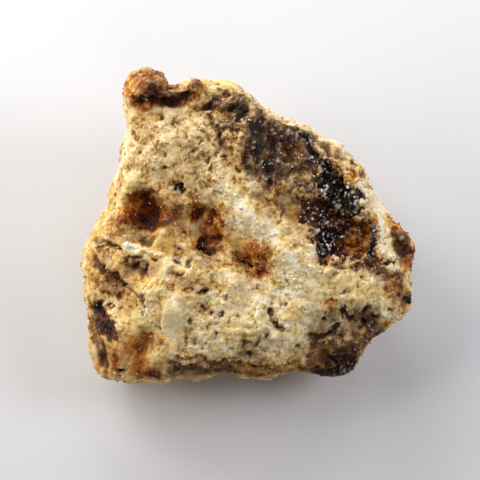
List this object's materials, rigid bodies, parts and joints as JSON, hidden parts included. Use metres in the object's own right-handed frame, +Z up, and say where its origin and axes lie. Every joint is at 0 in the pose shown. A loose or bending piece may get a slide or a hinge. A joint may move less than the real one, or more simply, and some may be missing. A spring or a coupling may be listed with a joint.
{
  "type": "archerite specimen",
  "caption": "Broken lump of porous cream cave crust with a brown lip, a hollow lined with black crystals and a trough of amber crystals, resting on a flat fracture.",
  "frame": {"origin": "middle of the bounding box's bottom, level with the flat base that the lump rests on", "axes": "+Z up from the base, +X to the right across the broad face, -Y toward the low edge of the broad face, which leans 20 degrees toward -Y"},
  "size_m": [0.02, 0.018, 0.012],
  "materials": {
    "matrix": "porous, granular, matte cream to ochre mineral",
    "black_crystals": "glossy black to dark brown crystals",
    "amber_crystals": "resinous amber-brown crystals"
  },
  "bodies": {
    "root": {"matrix": "matrix", "black_crystal_crust": "black_crystals", "amber_crystal_crust": "amber_crystals"}
  },
  "joints": []
}
